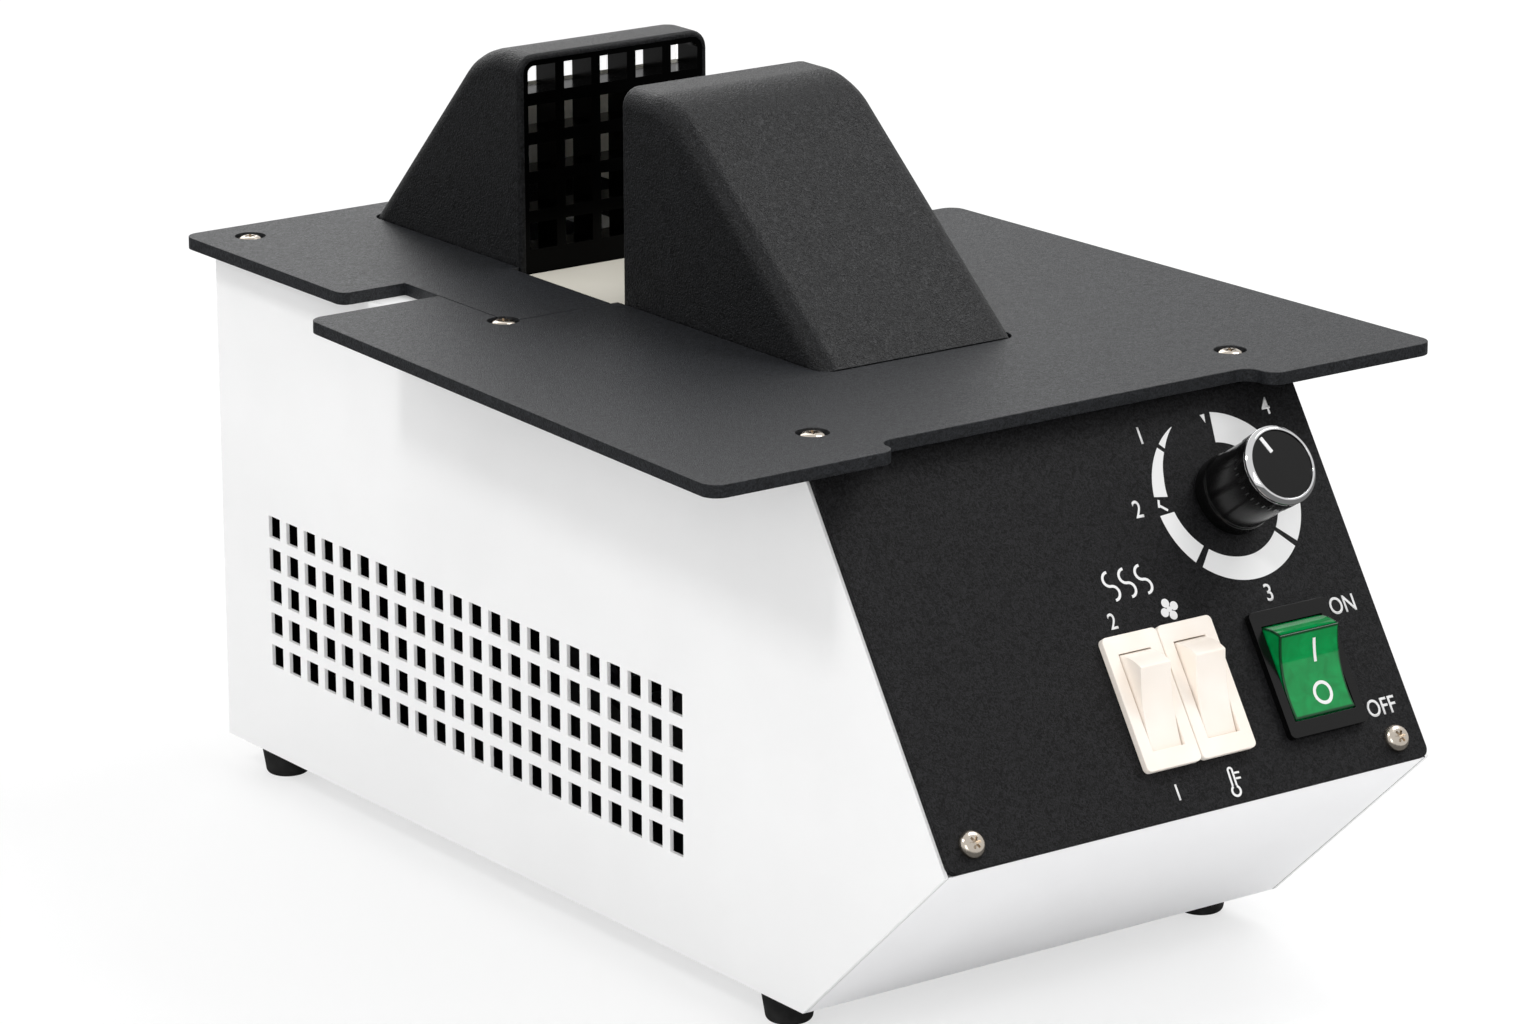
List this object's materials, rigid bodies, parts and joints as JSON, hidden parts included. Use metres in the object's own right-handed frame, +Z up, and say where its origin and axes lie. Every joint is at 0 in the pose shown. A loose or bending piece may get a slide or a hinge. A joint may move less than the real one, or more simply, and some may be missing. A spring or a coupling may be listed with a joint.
{
  "type": "eyeglass frame warmer",
  "caption": "Bench-top hot air warmer for eyeglass frames: sloped control panel with knob and rockers, broad top plates and two facing grilled hoods.",
  "frame": {"origin": "middle of the bounding box, on the surface the feet stand on", "axes": "+X to the right seen from the front, +Y to the back, away from the control panel, +Z up"},
  "size_m": [0.2222, 0.3276, 0.2072],
  "materials": {
    "case_white": "satin white powder coat, fine orange peel",
    "pan_grey": "satin light grey powder coat",
    "panel_black": "black, fine pebbled leather grain",
    "plate_black": "black, pebbled leather grain",
    "hood_black": "black, pebbled leather grain",
    "grille_black": "glossy black moulding",
    "cream_sheet": "pale cream enamel, satin",
    "liner_white": "off-white enamel, satin",
    "nickel_steel": "nickel plated",
    "zinc_steel": "zinc plated",
    "foot_rubber": "matte black rubber",
    "black_plastic": "semi-gloss black moulding",
    "chrome_ring": "bright chrome",
    "white_ink": "white inlay",
    "control_grey": "grey moulding",
    "tinned_brass": "tinned",
    "green_plastic": "glossy translucent green",
    "cream_plastic": "glossy cream moulding",
    "duct_steel": "galvanised sheet",
    "heater_board": "compressed mica board",
    "heater_steel": "heat-dulled tube",
    "fin_aluminium": "bright fins",
    "blower_plastic": "matte black moulding",
    "wheel_steel": "pressed blades",
    "motor_steel": "grey enamel",
    "bearing_bronze": "sintered bronze",
    "board_green": "green solder mask",
    "board_dark": "dark mouldings",
    "pillar_brass": "turned brass",
    "pin_brass": "bright pins"
  },
  "bodies": {
    "case": {"base_pan": "pan_grey", "left_side_panel": "case_white", "right_side_panel": "case_white", "back_panel": "case_white", "deck_sheet": "case_white", "control_panel": "panel_black", "front_top_plate": "plate_black", "rear_top_plate": "plate_black", "well_tray": "cream_sheet", "front_hood": "hood_black", "rear_hood": "hood_black", "front_grille": "grille_black", "rear_grille": "grille_black", "front_liner": "liner_white", "rear_liner": "liner_white", "hood_screws": "zinc_steel", "plate_screws": "nickel_steel", "panel_screws": "nickel_steel", "back_screws": "nickel_steel", "feet": "foot_rubber", "foot_screws": "zinc_steel", "foot_nuts": "zinc_steel", "control_housing": "control_grey", "control_nut": "nickel_steel", "control_lugs": "tinned_brass", "power_switch_body": "black_plastic", "power_tabs": "tinned_brass", "heat_switch_body": "cream_plastic", "fan_switch_body": "cream_plastic", "pair_tabs": "tinned_brass", "air_duct": "duct_steel", "duct_rivets": "zinc_steel", "heater_frame": "heater_board", "heater_tubes": "heater_steel", "heater_fins": "fin_aluminium", "thermal_cutout": "control_grey", "blower_housing": "blower_plastic", "blower_cover": "blower_plastic", "motor_can": "motor_steel", "motor_bearings": "bearing_bronze", "blower_screws": "zinc_steel", "control_board": "board_green", "board_parts": "board_dark", "board_pillars": "pillar_brass", "inlet_socket": "black_plastic", "inlet_pins": "pin_brass", "inlet_screws": "nickel_steel"},
    "knob": {"knob_body": "black_plastic", "knob_ring": "chrome_ring", "knob_cap": "black_plastic", "knob_pointer": "white_ink", "control_shaft": "zinc_steel"},
    "power_key": {"power_rocker": "green_plastic"},
    "heat_key": {"heat_rocker": "cream_plastic"},
    "fan_key": {"fan_rocker": "cream_plastic"},
    "wheel": {"blower_wheel": "wheel_steel", "motor_shaft": "zinc_steel"}
  },
  "joints": [
    {"name": "knob_turn", "type": "hinge", "parent": "case", "child": "knob", "pos_m": [0.042, -0.12347, 0.12253], "axis": [0, -0.8387, 0.5446], "range_deg": [0, 290]},
    {"name": "power_press", "type": "hinge", "parent": "case", "child": "power_key", "pos_m": [0.046, -0.14606, 0.08224], "axis": [-1, 0, 0], "range_deg": [0, 28]},
    {"name": "heat_press", "type": "hinge", "parent": "case", "child": "heat_key", "pos_m": [-0.00275, -0.14535, 0.08333], "axis": [-1, 0, 0], "range_deg": [0, 40]},
    {"name": "fan_press", "type": "hinge", "parent": "case", "child": "fan_key", "pos_m": [0.01435, -0.14535, 0.08333], "axis": [-1, 0, 0], "range_deg": [0, 40]},
    {"name": "wheel_spin", "type": "hinge", "parent": "case", "child": "wheel", "pos_m": [0, 0.04157, 0.0582], "axis": [1, 0, 0], "continuous": true}
  ]
}
